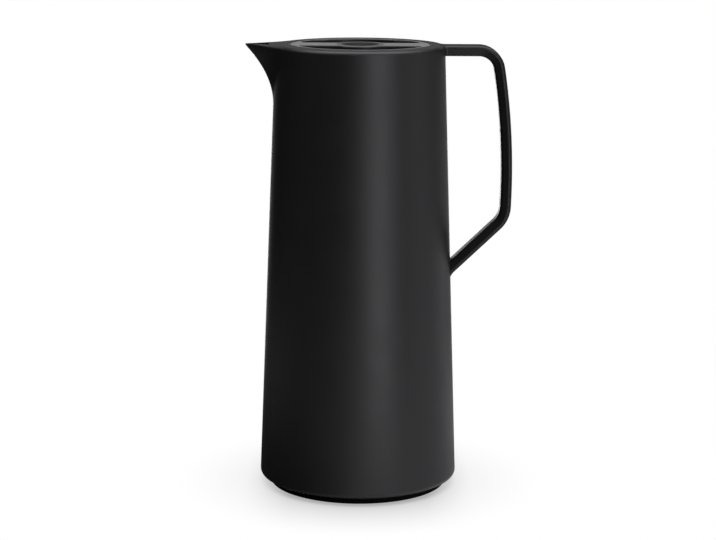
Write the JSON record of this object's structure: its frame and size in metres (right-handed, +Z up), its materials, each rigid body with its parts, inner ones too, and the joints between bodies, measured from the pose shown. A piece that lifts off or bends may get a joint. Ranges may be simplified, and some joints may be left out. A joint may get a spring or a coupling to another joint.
{
  "type": "vacuum jug",
  "caption": "Tall tapered vacuum jug with a pointed beak, a slim closed handle and a flush twist-out stopper whose push button opens the pouring valve.",
  "frame": {"origin": "centre of the foot's underside, on the jug's axis, at the level that it stands on", "axes": "+Z up the jug's axis, +X towards the handle, -X towards the beak, +Y away from the picture's viewer"},
  "size_m": [0.1729, 0.1298, 0.29],
  "materials": {
    "shell_plastic": "fine satin texture, charcoal",
    "lid_plastic": "smooth satin, charcoal",
    "inner_plastic": "smooth moulded",
    "foot_rubber": "matte black",
    "silicone": "matte silicone",
    "flask_steel": "brushed",
    "getter_metal": "dull",
    "screw_steel": "plain"
  },
  "bodies": {
    "jug": {"outer_shell": "shell_plastic", "handle": "shell_plastic", "handle_screw": "screw_steel", "pouring_collar": "inner_plastic", "neck_gasket": "silicone", "flask_inner": "flask_steel", "flask_outer": "flask_steel", "flask_base_cap": "flask_steel", "vacuum_getter": "getter_metal", "vacuum_seal_bead": "getter_metal", "flask_cushion": "foot_rubber", "base_plate": "inner_plastic", "base_screws": "screw_steel", "foot_pad": "foot_rubber"},
    "seal_ring": {"stopper_gasket": "silicone"},
    "stopper": {"stopper_cap": "lid_plastic", "stopper_plug": "inner_plastic", "cap_screws": "screw_steel", "stem_seal": "silicone", "button_spring": "screw_steel"},
    "button": {"push_button": "lid_plastic", "valve_stem": "inner_plastic", "valve_disc": "inner_plastic", "valve_seal": "silicone"}
  },
  "joints": [
    {"name": "stopper_lift", "type": "slide", "parent": "jug", "child": "seal_ring", "axis": [0, 0, 1], "range_m": [0, 0.0601]},
    {"name": "stopper_turn", "type": "hinge", "parent": "seal_ring", "child": "stopper", "pos_m": [0, 0, 0.26], "axis": [0, 0, 1], "range_deg": [0, 600]},
    {"name": "button_press", "type": "slide", "parent": "stopper", "child": "button", "axis": [0, 0, -1], "range_m": [0, 0.005], "stiffness_N_per_m": 800, "springref_m": -0.004, "deforming": ["button_spring"]}
  ],
  "couplings": [
    {"joint": "stopper_lift", "follows": "stopper_turn", "m_per_rad": 0.0057296}
  ]
}
